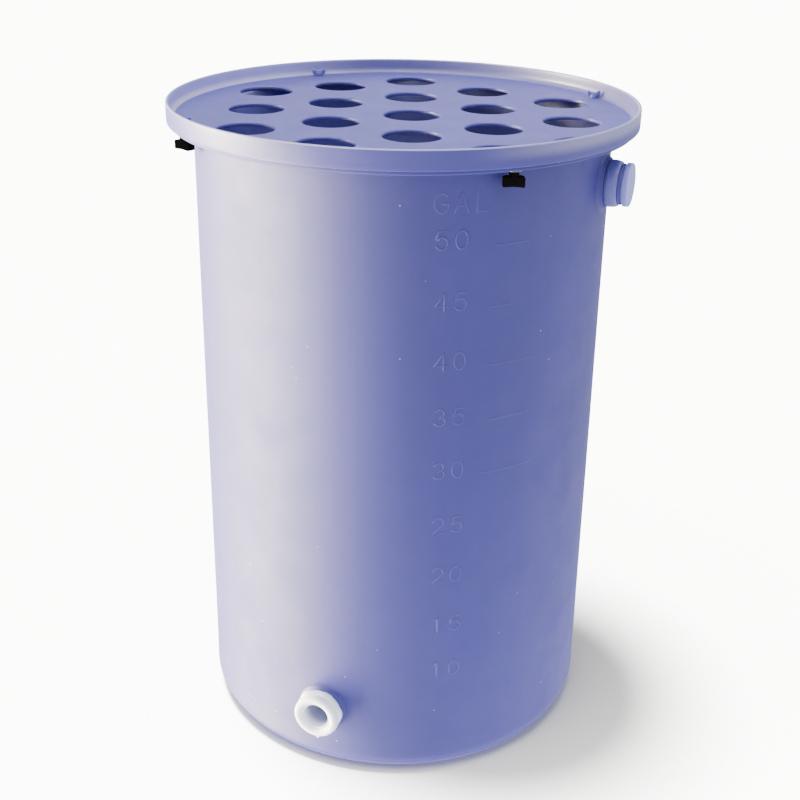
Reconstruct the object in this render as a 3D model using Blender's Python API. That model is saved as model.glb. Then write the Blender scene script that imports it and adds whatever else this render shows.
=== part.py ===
"""Graduated brewing tank with a perforated tray lid, a drain and a plugged overflow.

Metres, +Z up.  The origin is the middle of the tank's flat underside, the drain
faces -Y and the overflow faces +X.  Every solid is a turned or extruded form.
"""
import math

import bmesh
import bpy
from mathutils import Matrix, Vector

# Running gap between touching pieces.
GAP = 0.0003

# Tank: a nearly straight cylinder with a flange around its open mouth.  The one moulding is
# made as wall, floor and flange, a gap apart, so that its hollow stays open to collision.
TANK_RADIUS_FOOT = 0.2865
TANK_RADIUS_MOUTH = 0.2828
TANK_WALL = 0.0050
TANK_FLOOR = 0.0065
FOOT_FILLET = 0.0330
FLOOR_RADIUS = 0.2400
FLANGE_RADIUS = 0.3123
FLANGE_UNDERSIDE = 0.8810
FLANGE_TOP = 0.8861
MOUTH_LIP = 0.0020
EDGE = 0.0010

# Lid: a shallow tray, open upwards, with a field of round holes.  Its floor and its upstanding
# rim are made apart for the same reason.
LID_RADIUS = 0.3179
LID_TOP = 0.9123
LID_WALL = 0.0045
LID_FLOOR_TOP = 0.8920
LID_COVE = 0.0080
LID_COVE_START = -73.0
HOLE_RADIUS = 0.0377
HOLE_FIELD_TURN = math.radians(20.9)
HOLE_COLUMN_STEP = 0.1057
HOLE_ROW_STEP = 0.1295
HOLE_STAGGER = 0.0509
HOLE_FIELD_SHIFT = (0.0114, -0.0211)
# Rows of holes in each column, counted from the column's own middle hole.
HOLE_ROWS = {-2: (0, 1, 2), -1: (-1, 0, 1, 2), 0: (-1, 0, 1, 2), 1: (-2, -1, 0, 1), 2: (-2, -1, 0)}
HOLE_REACH = 0.3000

# Four bolts through the lid's floor and the tank's flange.
BOLT_CIRCLE = 0.3010
BOLT_ANGLES = [math.radians(a) for a in (45, 137, 222, 316.5)]
BOLT_RADIUS = 0.0040
BOLT_BORE = 0.0043
BOLT_HEAD_RADIUS = 0.0055
BOLT_HEAD_HEIGHT = 0.0050
BOLT_WING_THICKNESS = 0.0046
# Right half of the wings' outline: distance from the bolt's middle, height over the lid's floor.
BOLT_WING = [(0.0045, 0.0010), (0.0080, 0.0035), (0.0103, 0.0070), (0.0105, 0.0100),
             (0.0090, 0.0115), (0.0070, 0.0105), (0.0045, 0.0062)]
BOLT_TIP = 0.8704
BOLT_TURNS = [math.radians(a) for a in (20.9, 24.0, 200.0, 300.0)]
WASHER_RADIUS = 0.0092
WASHER_THICKNESS = 0.0015
NUT_TURNS = [math.radians(a) for a in (60.0, 150.0, -19.0, 20.9)]
NUT_HUB_RADIUS = 0.0070
NUT_HEIGHT = 0.0185
NUT_NECK = 0.0045
NUT_WING_REACH = 0.0140
NUT_WING_THICKNESS = 0.0120
NUT_BORE_DEPTH = 0.0120
NUT_WING_ROOT = 0.0012
NUT_WING_CORNER = 0.0015
NUT_WING_SLOPE = 0.0020

# Drain: a white bulkhead fitting low on the -Y side.
DRAIN_ANGLE = math.radians(-90)
DRAIN_HEIGHT = 0.1017
DRAIN_PAD_RADIUS = 0.0330
DRAIN_PAD_FACE = 0.2885
DRAIN_BORE = 0.0175
DRAIN_BARREL = 0.0225
DRAIN_HEX_RADIUS = 0.0380
DRAIN_HEX_FACE = 0.3030
DRAIN_COLLAR_RADIUS = 0.0325
DRAIN_COLLAR_EDGE = 0.0030
DRAIN_FACE = 0.3130
DRAIN_INNER_END = 0.2620
DRAIN_NUT_FACE = 0.2786
DRAIN_NUT_THICKNESS = 0.0100
DRAIN_NUT_RADIUS = 0.0330

# Overflow: a hub on a moulded pad high on the +X side, closed by a screw plug.
OVERFLOW_ANGLE = 0.0
OVERFLOW_HEIGHT = 0.8240
OVERFLOW_PAD_RADIUS = 0.0345
OVERFLOW_PAD_FACE = 0.2880
OVERFLOW_HUB_RADIUS = 0.0308
OVERFLOW_HUB_FACE = 0.3046
OVERFLOW_HUB_EDGE = 0.0040
OVERFLOW_BARREL = 0.0285
OVERFLOW_BORE = 0.0246
OVERFLOW_INNER_END = 0.2600
OVERFLOW_NUT_FACE = 0.2748
OVERFLOW_NUT_THICKNESS = 0.0090
OVERFLOW_NUT_RADIUS = 0.0370
PLUG_SPIGOT = 0.0242
PLUG_SPIGOT_END = 0.2900
PLUG_HOLLOW = 0.0190
PLUG_DISC_BACK = 0.3106
PLUG_DISC_FACE = 0.3180
PLUG_DISC_RADIUS = 0.0285
PLUG_DISC_EDGE = 0.0020
PLUG_WEB = 0.0040
SEAL_RADIUS = 0.0268
SEAL_THICKNESS = 0.0030
GASKET_THICKNESS = 0.0020

# Side of a pad's sloping edge, and how far cutters run past what they cut.
PAD_SLOPE = 0.0020
PAST = 0.0040
PAST_WALL = 0.0250

TANK_SEGMENTS = 60
FITTING_SEGMENTS = 24
SMALL_SEGMENTS = 16
HOLE_SEGMENTS = 20
SHARP_ANGLE = math.radians(35)
# Small turn that keeps the corners of round guides off the corners they cut.
GUIDE_TWIST = math.radians(2.3)


# Colour, roughness and metallic of each material.
BLUE = ((0.30, 0.33, 0.62), 0.45, 0.0)
WHITE = ((0.82, 0.82, 0.85), 0.40, 0.0)
BLACK = ((0.012, 0.012, 0.014), 0.45, 0.0)
STEEL = ((0.55, 0.55, 0.56), 0.35, 1.0)
RUBBER = ((0.020, 0.020, 0.022), 0.70, 0.0)


def clear_scene():
    for obj in list(bpy.data.objects):
        bpy.data.objects.remove(obj, do_unlink=True)


def make_material(name, finish):
    colour, roughness, metallic = finish
    material = bpy.data.materials.new(name)
    material.use_nodes = True
    shader = material.node_tree.nodes["Principled BSDF"]
    shader.inputs["Base Color"].default_value = (*colour, 1.0)
    shader.inputs["Roughness"].default_value = roughness
    shader.inputs["Metallic"].default_value = metallic
    return material


def add_object(name, bm, material, placing):
    """Put a mesh in the scene as one named object with closed, outward faces."""
    bmesh.ops.recalc_face_normals(bm, faces=bm.faces)
    mesh = bpy.data.meshes.new(name)
    bm.to_mesh(mesh)
    bm.free()
    mesh.shade_smooth()
    mesh.set_sharp_from_angle(angle=SHARP_ANGLE)
    obj = bpy.data.objects.new(name, mesh)
    bpy.context.scene.collection.objects.link(obj)
    obj.matrix_world = placing
    if material is not None:
        mesh.materials.append(material)
    return obj


def arc(centre, radius, start, end, steps):
    """Points on an arc in the profile plane; angles in degrees from outwards to up."""
    points = []
    for i in range(steps + 1):
        angle = math.radians(start + (end - start) * i / steps)
        points.append((centre[0] + radius * math.cos(angle), centre[1] + radius * math.sin(angle)))
    return points


def turned(profile, segments):
    """Spin a profile about Z; one that leaves the axis is closed into a ring."""
    bm = bmesh.new()
    verts = [bm.verts.new((r, 0.0, z)) for r, z in profile]
    edges = [bm.edges.new(pair) for pair in zip(verts, verts[1:])]
    if profile[0][0] > 0.0:
        edges.append(bm.edges.new((verts[-1], verts[0])))
    bmesh.ops.spin(bm, geom=verts + edges, cent=(0, 0, 0), axis=(0, 0, 1),
                   angle=math.tau, steps=segments, use_merge=True)
    bmesh.ops.remove_doubles(bm, verts=bm.verts, dist=1e-6)
    bmesh.ops.dissolve_degenerate(bm, edges=bm.edges, dist=1e-7)
    return bm


def extruded(outlines, low, high):
    """Closed prisms standing on flat outlines in the XY plane."""
    bm = bmesh.new()
    for outline in outlines:
        face = bm.faces.new([bm.verts.new((x, y, low)) for x, y in outline])
        rising = bmesh.ops.extrude_face_region(bm, geom=[face])
        moved = [v for v in rising["geom"] if isinstance(v, bmesh.types.BMVert)]
        bmesh.ops.translate(bm, vec=(0, 0, high - low), verts=moved)
    return bm


def circle(x, y, radius, segments):
    turn = [math.tau * i / segments for i in range(segments)]
    return [(x + radius * math.cos(a), y + radius * math.sin(a)) for a in turn]


def modify(obj, other, operation):
    """Boolean with a guide object that stays out of the model."""
    boolean = obj.modifiers.new(other.name, "BOOLEAN")
    boolean.operation = operation
    boolean.solver = "EXACT"
    boolean.object = other
    other.hide_render = True
    other.display_type = "WIRE"


def sideways(angle, height):
    """Frame whose local Z points out of the tank, with its origin on the tank's axis."""
    out = Vector((math.cos(angle), math.sin(angle), 0.0))
    along = Vector((-math.sin(angle), math.cos(angle), 0.0))
    up = Vector((0.0, 0.0, 1.0))
    rotation = Matrix((along, up, out)).transposed().to_4x4()
    return Matrix.Translation((0.0, 0.0, height)) @ rotation


def bolt_place(angle, turn=0.0):
    spot = (BOLT_CIRCLE * math.cos(angle), BOLT_CIRCLE * math.sin(angle), 0.0)
    return Matrix.Translation(spot) @ Matrix.Rotation(turn, 4, "Z")


def bolt_outlines():
    spots = [(BOLT_CIRCLE * math.cos(a), BOLT_CIRCLE * math.sin(a)) for a in BOLT_ANGLES]
    return [circle(x, y, BOLT_BORE, SMALL_SEGMENTS) for x, y in spots]


def tank_radius(height):
    """Outer radius of the tank's wall at a height."""
    share = height / FLANGE_TOP
    return TANK_RADIUS_FOOT + (TANK_RADIUS_MOUTH - TANK_RADIUS_FOOT) * share


def wall_profile():
    """Closed section of the wall with its rounded foot, from the floor's edge to the mouth."""
    inner_fillet = FOOT_FILLET - TANK_WALL
    foot = TANK_RADIUS_FOOT - FOOT_FILLET
    bore_top = TANK_RADIUS_MOUTH - TANK_WALL
    profile = [(FLOOR_RADIUS + GAP, 0.0)]
    profile += arc((foot, FOOT_FILLET), FOOT_FILLET, -90, 0, 5)
    profile += [(TANK_RADIUS_MOUTH, FLANGE_TOP)]
    profile += arc((bore_top + MOUTH_LIP, FLANGE_TOP - MOUTH_LIP), MOUTH_LIP, 90, 180, 2)
    profile += arc((foot, TANK_FLOOR + inner_fillet), inner_fillet, 0, -90, 4)
    profile += [(FLOOR_RADIUS + GAP, TANK_FLOOR)]
    return profile


def flange_profile():
    bore = TANK_RADIUS_MOUTH + GAP
    profile = [(bore, FLANGE_UNDERSIDE), (FLANGE_RADIUS - EDGE, FLANGE_UNDERSIDE)]
    profile += [(FLANGE_RADIUS, FLANGE_UNDERSIDE + EDGE), (FLANGE_RADIUS, FLANGE_TOP - EDGE)]
    profile += [(FLANGE_RADIUS - EDGE, FLANGE_TOP), (bore, FLANGE_TOP)]
    return profile


def gathered(pieces):
    """One mesh out of separate pieces, each moved to its own place."""
    whole = bmesh.new()
    for piece, placing in pieces:
        piece.transform(placing)
        loose = bpy.data.meshes.new("loose")
        piece.to_mesh(loose)
        piece.free()
        whole.from_mesh(loose)
        bpy.data.meshes.remove(loose)
    return whole


def pad(inner, face, radius, slope):
    """Moulded round pad with a sloping side, sunk into the tank's wall."""
    outline = [circle(0, 0, radius, FITTING_SEGMENTS)]
    bm = extruded(outline, inner, face - slope)
    top = max(bm.faces, key=lambda f: f.calc_center_median().z)
    bmesh.ops.inset_region(bm, faces=[top], thickness=slope, depth=slope)
    return bm


def bore_cutter(name, placing, radius, low, high):
    bm = extruded([circle(0, 0, radius, FITTING_SEGMENTS)], low, high)
    return add_object(name, bm, None, placing)


def build_tank(plastic):
    """Wall with its two side pads and bores, the floor disc and the drilled flange."""
    wall = add_object("tank_body", turned(wall_profile(), TANK_SEGMENTS), plastic, Matrix())
    sides = (
        (DRAIN_ANGLE, DRAIN_HEIGHT, DRAIN_PAD_FACE, DRAIN_PAD_RADIUS, DRAIN_BARREL + GAP),
        (OVERFLOW_ANGLE, OVERFLOW_HEIGHT, OVERFLOW_PAD_FACE, OVERFLOW_PAD_RADIUS, OVERFLOW_BARREL + GAP),
    )
    pads, bores = [], []
    for angle, height, face, radius, bore in sides:
        placing = sideways(angle, height) @ Matrix.Rotation(GUIDE_TWIST, 4, "Z")
        sunk = tank_radius(height) - TANK_WALL + 2 * GAP
        pads.append((pad(sunk, face, radius, PAD_SLOPE), placing))
        cutter = extruded([circle(0, 0, bore, FITTING_SEGMENTS)], face - PAST_WALL, face + PAST_WALL)
        bores.append((cutter, placing))
    modify(wall, add_object("guide_pads", gathered(pads), None, Matrix()), "UNION")
    modify(wall, add_object("guide_bores", gathered(bores), None, Matrix()), "DIFFERENCE")

    disc = [(0.0, 0.0), (FLOOR_RADIUS, 0.0), (FLOOR_RADIUS, TANK_FLOOR), (0.0, TANK_FLOOR)]
    add_object("tank_floor", turned(disc, TANK_SEGMENTS), plastic, Matrix())

    flange = add_object("tank_flange", turned(flange_profile(), TANK_SEGMENTS), plastic, Matrix())
    cutter = extruded(bolt_outlines(), FLANGE_UNDERSIDE - PAST, FLANGE_TOP + PAST)
    modify(flange, add_object("guide_flange_holes", cutter, None, Matrix()), "DIFFERENCE")


def rim_profile():
    """Closed section of the lid's rim, with the cove at its foot, around the floor's edge."""
    inner = LID_RADIUS - LID_WALL
    crown = LID_WALL / 2
    under = FLANGE_TOP + GAP
    profile = arc((inner - LID_COVE, LID_FLOOR_TOP + LID_COVE), LID_COVE, LID_COVE_START, 0, 4)
    profile += arc((LID_RADIUS - crown, LID_TOP - crown), crown, 180, 0, 6)
    profile += [(LID_RADIUS, under + EDGE), (LID_RADIUS - EDGE, under)]
    profile += [(inner, under), (inner, LID_FLOOR_TOP + GAP)]
    return profile


def hole_centres():
    """Staggered field: each column steps sideways and starts a little further back."""
    turn = Matrix.Rotation(HOLE_FIELD_TURN, 2)
    centres = []
    for column, rows in HOLE_ROWS.items():
        for row in rows:
            x = HOLE_FIELD_SHIFT[0] + column * HOLE_COLUMN_STEP
            y = HOLE_FIELD_SHIFT[1] + column * HOLE_STAGGER + row * HOLE_ROW_STEP
            centres.append(turn @ Vector((x, y)))
    return centres


def hole_outline(centre):
    """Circle that stops short where it would run into the rim's foot."""
    outline = []
    for x, y in circle(centre.x, centre.y, HOLE_RADIUS, HOLE_SEGMENTS):
        reach = math.hypot(x, y)
        shrink = min(1.0, HOLE_REACH / reach)
        outline.append((x * shrink, y * shrink))
    return outline


def build_lid(plastic):
    """Perforated floor and the upstanding rim around it."""
    edge = LID_RADIUS - LID_WALL - GAP
    under = FLANGE_TOP + GAP
    disc = [(0.0, under), (edge, under), (edge, LID_FLOOR_TOP), (0.0, LID_FLOOR_TOP)]
    floor = add_object("lid_tray", turned(disc, TANK_SEGMENTS), plastic, Matrix())
    outlines = [hole_outline(centre) for centre in hole_centres()] + bolt_outlines()
    cutter = extruded(outlines, under - PAST, LID_FLOOR_TOP + PAST)
    modify(floor, add_object("guide_lid_holes", cutter, None, Matrix()), "DIFFERENCE")
    add_object("lid_rim", turned(rim_profile(), TANK_SEGMENTS), plastic, Matrix())


def upright_plate(outline, thickness):
    """Closed plate whose outline is drawn in the XZ plane."""
    bm = extruded([outline], -thickness / 2, thickness / 2)
    bmesh.ops.rotate(bm, verts=bm.verts, cent=(0, 0, 0), matrix=Matrix.Rotation(math.pi / 2, 3, "X"))
    return bm


def build_bolt(number, angle, turn, plastic):
    """Wing-headed bolt that stands on the lid's floor."""
    seat = LID_FLOOR_TOP + GAP
    crown = seat + BOLT_HEAD_HEIGHT
    profile = [(0.0, BOLT_TIP), (BOLT_RADIUS - EDGE, BOLT_TIP), (BOLT_RADIUS, BOLT_TIP + EDGE)]
    profile += [(BOLT_RADIUS, seat), (BOLT_HEAD_RADIUS, seat)]
    profile += [(BOLT_HEAD_RADIUS, crown - EDGE), (BOLT_HEAD_RADIUS - EDGE, crown), (0.0, crown)]
    placing = bolt_place(angle, turn)
    name = "lid_bolt_%d" % number
    bolt = add_object(name, turned(profile, SMALL_SEGMENTS), plastic, placing)
    outline = [(x, seat + z) for x, z in BOLT_WING]
    outline += [(-x, seat + z) for x, z in reversed(BOLT_WING)]
    plate = upright_plate(outline, BOLT_WING_THICKNESS)
    wings = add_object("guide_" + name, plate, None, placing)
    modify(bolt, wings, "UNION")


def build_washer(number, angle, metal):
    top = FLANGE_UNDERSIDE - GAP
    bottom = top - WASHER_THICKNESS
    profile = [(BOLT_BORE, bottom), (WASHER_RADIUS, bottom), (WASHER_RADIUS, top), (BOLT_BORE, top)]
    add_object("washer_%d" % number, turned(profile, FITTING_SEGMENTS), metal, bolt_place(angle))


def build_wing_nut(number, angle, turn, plastic):
    top = FLANGE_UNDERSIDE - WASHER_THICKNESS - 2 * GAP
    bottom = top - NUT_HEIGHT
    bore_end = top - NUT_BORE_DEPTH
    hub, bore = NUT_HUB_RADIUS, BOLT_BORE
    profile = [(0.0, bottom), (hub - EDGE, bottom), (hub, bottom + EDGE), (hub, top - EDGE)]
    profile += [(hub - EDGE, top), (bore, top), (bore, bore_end), (0.0, bore_end)]
    placing = bolt_place(angle, turn)
    name = "wing_nut_%d" % number
    nut = add_object(name, turned(profile, SMALL_SEGMENTS), plastic, placing)
    shoulder = top - NUT_NECK
    root, reach, corner = bore + NUT_WING_ROOT, NUT_WING_REACH, NUT_WING_CORNER
    for side in (-1, 1):
        right = [(root, bottom + EDGE), (reach - corner, bottom), (reach, bottom + corner)]
        right += [(reach, shoulder - NUT_WING_SLOPE), (reach - corner, shoulder), (root, shoulder + EDGE)]
        outline = [(side * x, z) for x, z in right]
        wing_name = "guide_%s_%s" % (name, "left" if side < 0 else "right")
        wing = add_object(wing_name, upright_plate(outline, NUT_WING_THICKNESS), None, placing)
        modify(nut, wing, "UNION")


def ring(name, placing, bore, radius, low, high, material):
    """Flat ring with a small chamfer on its outer edges."""
    profile = [(bore, low), (radius - EDGE / 2, low), (radius, low + EDGE / 2)]
    profile += [(radius, high - EDGE / 2), (radius - EDGE / 2, high), (bore, high)]
    add_object(name, turned(profile, FITTING_SEGMENTS), material, placing)


def hex_nut(name, placing, bore, radius, low, high, material):
    """Six-sided nut with a round bore."""
    nut = add_object(name, extruded([circle(0, 0, radius, 6)], low, high), material, placing)
    cutter = bore_cutter("guide_" + name, placing, bore, low - PAST, high + PAST)
    modify(nut, cutter, "DIFFERENCE")


def build_drain(white, rubber):
    placing = sideways(DRAIN_ANGLE, DRAIN_HEIGHT)
    gasket_face = DRAIN_PAD_FACE + GAP + GASKET_THICKNESS
    ring("drain_gasket", placing, DRAIN_BARREL + GAP, DRAIN_COLLAR_RADIUS, DRAIN_PAD_FACE + GAP,
         gasket_face, rubber)
    hex_nut("drain_lock_nut", placing, DRAIN_BARREL + GAP, DRAIN_NUT_RADIUS,
            DRAIN_NUT_FACE - DRAIN_NUT_THICKNESS, DRAIN_NUT_FACE, white)
    seat = gasket_face + GAP
    profile = [(DRAIN_BORE, DRAIN_INNER_END), (DRAIN_BARREL, DRAIN_INNER_END), (DRAIN_BARREL, seat)]
    profile += [(DRAIN_COLLAR_RADIUS, seat)]
    edge = DRAIN_COLLAR_EDGE
    profile += arc((DRAIN_COLLAR_RADIUS - edge, DRAIN_FACE - edge), edge, 0, 90, 3)
    profile += [(DRAIN_BORE + EDGE, DRAIN_FACE), (DRAIN_BORE, DRAIN_FACE - EDGE)]
    fitting = add_object("drain_fitting", turned(profile, FITTING_SEGMENTS), white, placing)
    corners = circle(0, 0, DRAIN_HEX_RADIUS, 6)
    guide = add_object("guide_drain_hex", extruded([corners], seat + EDGE, DRAIN_HEX_FACE), None, placing)
    modify(fitting, guide, "UNION")
    reach = (DRAIN_INNER_END - PAST, DRAIN_FACE + PAST)
    cutter = bore_cutter("guide_drain_bore", placing, DRAIN_BORE, *reach)
    modify(fitting, cutter, "DIFFERENCE")


def build_overflow(plastic, rubber):
    placing = sideways(OVERFLOW_ANGLE, OVERFLOW_HEIGHT)
    gasket_face = OVERFLOW_PAD_FACE + GAP + GASKET_THICKNESS
    ring("overflow_gasket", placing, OVERFLOW_BARREL + GAP, OVERFLOW_HUB_RADIUS,
         OVERFLOW_PAD_FACE + GAP, gasket_face, rubber)
    hex_nut("overflow_lock_nut", placing, OVERFLOW_BARREL + GAP, OVERFLOW_NUT_RADIUS,
            OVERFLOW_NUT_FACE - OVERFLOW_NUT_THICKNESS, OVERFLOW_NUT_FACE, plastic)
    seat = gasket_face + GAP
    edge = OVERFLOW_HUB_EDGE
    profile = [(OVERFLOW_BORE, OVERFLOW_INNER_END), (OVERFLOW_BARREL, OVERFLOW_INNER_END)]
    profile += [(OVERFLOW_BARREL, seat), (OVERFLOW_HUB_RADIUS, seat)]
    profile += arc((OVERFLOW_HUB_RADIUS - edge, OVERFLOW_HUB_FACE - edge), edge, 0, 90, 4)
    profile += [(OVERFLOW_BORE, OVERFLOW_HUB_FACE)]
    add_object("overflow_fitting", turned(profile, FITTING_SEGMENTS), plastic, placing)


def build_plug(plastic, rubber):
    """Screw plug: a disc with a hollow spigot, and the seal ring that it carries."""
    placing = sideways(OVERFLOW_ANGLE, OVERFLOW_HEIGHT)
    seal_low = OVERFLOW_HUB_FACE + GAP
    ring("overflow_plug_seal", placing, PLUG_SPIGOT + GAP, SEAL_RADIUS, seal_low,
         seal_low + SEAL_THICKNESS, rubber)
    hollow_end = PLUG_DISC_BACK - PLUG_WEB
    edge = PLUG_DISC_EDGE
    profile = [(0.0, hollow_end), (PLUG_HOLLOW, hollow_end), (PLUG_HOLLOW, PLUG_SPIGOT_END)]
    profile += [(PLUG_SPIGOT - EDGE, PLUG_SPIGOT_END), (PLUG_SPIGOT, PLUG_SPIGOT_END + EDGE)]
    profile += [(PLUG_SPIGOT, PLUG_DISC_BACK), (PLUG_DISC_RADIUS - EDGE, PLUG_DISC_BACK)]
    profile += [(PLUG_DISC_RADIUS, PLUG_DISC_BACK + EDGE)]
    profile += arc((PLUG_DISC_RADIUS - edge, PLUG_DISC_FACE - edge), edge, 0, 90, 3)
    profile += [(0.0, PLUG_DISC_FACE)]
    add_object("overflow_plug", turned(profile, FITTING_SEGMENTS), plastic, placing)


def main():
    clear_scene()
    blue = make_material("blue_polyethylene", BLUE)
    white = make_material("white_plastic", WHITE)
    black = make_material("black_plastic", BLACK)
    steel = make_material("stainless_steel", STEEL)
    rubber = make_material("black_rubber", RUBBER)
    build_tank(blue)
    build_lid(blue)
    for i, angle in enumerate(BOLT_ANGLES):
        build_bolt(i + 1, angle, BOLT_TURNS[i], blue)
        build_washer(i + 1, angle, steel)
        build_wing_nut(i + 1, angle, NUT_TURNS[i], black)
    build_drain(white, rubber)
    build_overflow(blue, rubber)
    build_plug(blue, rubber)


main()
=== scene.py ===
"""Graduated blue brewing tank with a perforated tray lid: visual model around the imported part.

Metres, +Z up, in the part's own frame: the drain faces -Y and the overflow faces +X.
"""
import math

import bmesh
import bpy
from mathutils import Matrix, Vector, noise
from mathutils.geometry import delaunay_2d_cdt


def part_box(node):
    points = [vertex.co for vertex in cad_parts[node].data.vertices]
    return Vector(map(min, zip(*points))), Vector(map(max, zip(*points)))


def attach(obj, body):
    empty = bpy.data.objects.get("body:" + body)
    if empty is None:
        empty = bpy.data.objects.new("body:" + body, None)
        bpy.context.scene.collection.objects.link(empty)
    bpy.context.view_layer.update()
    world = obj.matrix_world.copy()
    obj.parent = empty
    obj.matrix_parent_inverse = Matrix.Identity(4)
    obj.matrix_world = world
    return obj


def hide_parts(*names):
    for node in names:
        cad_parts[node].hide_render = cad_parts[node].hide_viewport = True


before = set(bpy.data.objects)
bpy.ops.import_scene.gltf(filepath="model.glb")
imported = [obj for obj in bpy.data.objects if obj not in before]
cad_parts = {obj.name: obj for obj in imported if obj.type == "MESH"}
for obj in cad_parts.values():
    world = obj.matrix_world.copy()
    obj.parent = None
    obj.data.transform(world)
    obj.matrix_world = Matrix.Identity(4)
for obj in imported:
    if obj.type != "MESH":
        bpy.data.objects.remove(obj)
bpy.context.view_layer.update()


def low(node):
    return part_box(node)[0]


def high(node):
    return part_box(node)[1]


def middle(node):
    lowest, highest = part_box(node)
    return (Vector(lowest) + Vector(highest)) / 2


# ---------------------------------------------------------------- sizes, read from the part
GAP = 0.0003
TANK_FOOT = 0.2865
TANK_MOUTH = 0.2828
TANK_WALL = 0.0050
TANK_FLOOR = high("tank_floor")[2]
FOOT_FILLET = 0.0330
FLANGE_RADIUS = high("tank_flange")[0]
FLANGE_LOW = low("tank_flange")[2]
FLANGE_TOP = high("tank_flange")[2]
LID_RADIUS = high("lid_rim")[0]
LID_TOP = high("lid_rim")[2]
LID_UNDER = low("lid_tray")[2]
LID_FLOOR = high("lid_tray")[2]
LID_WALL = 0.0045
LID_COVE = 0.0080
BOLTS = [middle("washer_%d" % (i + 1)) for i in range(4)]
BOLT_TURNS = [math.radians(a) for a in (20.9, 24.0, 200.0, 300.0)]
NUT_TURNS = [math.radians(a) for a in (60.0, 150.0, -19.0, 20.9)]
DRAIN_Z = middle("drain_gasket").z
DRAIN_FACE = -low("drain_fitting")[1]
OVERFLOW_Z = middle("overflow_gasket").z
PLUG_FACE = high("overflow_plug")[0]
BOLT_HOLE = 0.0043
DRAIN_HOLE = 0.0228
OVERFLOW_HOLE = 0.0288
THREAD_PITCH = 0.0022
DRAIN_SIDE = math.radians(-90)
OVERFLOW_SIDE = 0.0

# Lid holes: a staggered field of columns, turned with the lid and cut off at HOLE_REACH from its axis.
HOLE_RADIUS = 0.0377
HOLE_TURN = math.radians(20.9)
HOLE_STEP = (0.1057, 0.1295)
HOLE_STAGGER = 0.0509
HOLE_SHIFT = (0.0114, -0.0211)
HOLE_ROWS = {-2: (0, 1, 2), -1: (-1, 0, 1, 2), 0: (-1, 0, 1, 2), 1: (-2, -1, 0, 1), 2: (-2, -1, 0)}
HOLE_REACH = 0.3000


# ---------------------------------------------------------------- materials
class Shader:
    """Small helper around a material's node tree."""

    def __init__(self, name):
        self.material = bpy.data.materials.new(name)
        self.material.use_nodes = True
        self.tree = self.material.node_tree
        self.bsdf = self.tree.nodes["Principled BSDF"]

    def node(self, kind, **sockets):
        made = self.tree.nodes.new(kind)
        for key, value in sockets.items():
            made.inputs[key.replace("_", " ")].default_value = value
        return made

    def link(self, source, target):
        self.tree.links.new(source, target)

    def set(self, **sockets):
        for key, value in sockets.items():
            self.bsdf.inputs[key.replace("_", " ")].default_value = value

    def coordinates(self, scale=(1.0, 1.0, 1.0)):
        where = self.tree.nodes.new("ShaderNodeTexCoord")
        mapping = self.node("ShaderNodeMapping", Scale=scale)
        self.link(where.outputs["Object"], mapping.inputs["Vector"])
        return mapping.outputs["Vector"]

    def noise(self, scale, detail, stretch=(1.0, 1.0, 1.0), roughness=0.55):
        texture = self.node("ShaderNodeTexNoise", Scale=scale, Detail=detail, Roughness=roughness)
        self.link(self.coordinates(stretch), texture.inputs["Vector"])
        return texture.outputs["Fac"]

    def ramp(self, source, stops):
        ramp = self.tree.nodes.new("ShaderNodeValToRGB")
        elements = ramp.color_ramp.elements
        while len(elements) < len(stops):
            elements.new(0.5)
        for element, (place, colour) in zip(elements, stops):
            element.position = place
            element.color = colour if len(colour) == 4 else (*colour, 1.0)
        self.link(source, ramp.inputs["Fac"])
        return ramp.outputs["Color"]

    def mix(self, factor, first, second, blend="MIX"):
        mix = self.tree.nodes.new("ShaderNodeMix")
        mix.data_type = "RGBA"
        mix.blend_type = blend
        for socket, value in ((mix.inputs[0], factor), (mix.inputs[6], first), (mix.inputs[7], second)):
            if isinstance(value, bpy.types.NodeSocket):
                self.link(value, socket)
            else:
                socket.default_value = value if isinstance(value, float) else (*value, 1.0)
        return mix.outputs[2]

    def band(self, axis, start, end):
        """Grows from 0 to 1 between two places along an axis of the part."""
        split = self.tree.nodes.new("ShaderNodeSeparateXYZ")
        self.link(self.coordinates(), split.inputs[0])
        scale = self.tree.nodes.new("ShaderNodeMapRange")
        scale.interpolation_type = "SMOOTHSTEP"
        scale.inputs["From Min"].default_value = start
        scale.inputs["From Max"].default_value = end
        self.link(split.outputs[axis], scale.inputs["Value"])
        return scale.outputs["Result"]

    def product(self, first, second):
        times = self.tree.nodes.new("ShaderNodeMath")
        times.operation = "MULTIPLY"
        self.link(first, times.inputs[0])
        self.link(second, times.inputs[1])
        return times.outputs[0]

    def bump(self, *layers):
        """Stack of bump nodes: (height, distance in metres, strength)."""
        last = None
        for height, distance, strength in layers:
            bump = self.node("ShaderNodeBump", Strength=strength, Distance=distance)
            self.link(height, bump.inputs["Height"])
            if last is not None:
                self.link(last, bump.inputs["Normal"])
            last = bump.outputs["Normal"]
        self.link(last, self.bsdf.inputs["Normal"])


def grey(value):
    return (value, value, value)


def scaled(colour, factor):
    return tuple(min(1.0, c * factor) for c in colour)


# Splashes are thickest low on the left, between these heights and places across.
SPLASH_Z = (0.46, 0.30)
SPLASH_X = (0.12, -0.08)
# Places along Y between which the drain's bore goes over to its painted shade.
BORE_SHADE_Y = (-0.309, -0.288)


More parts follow.
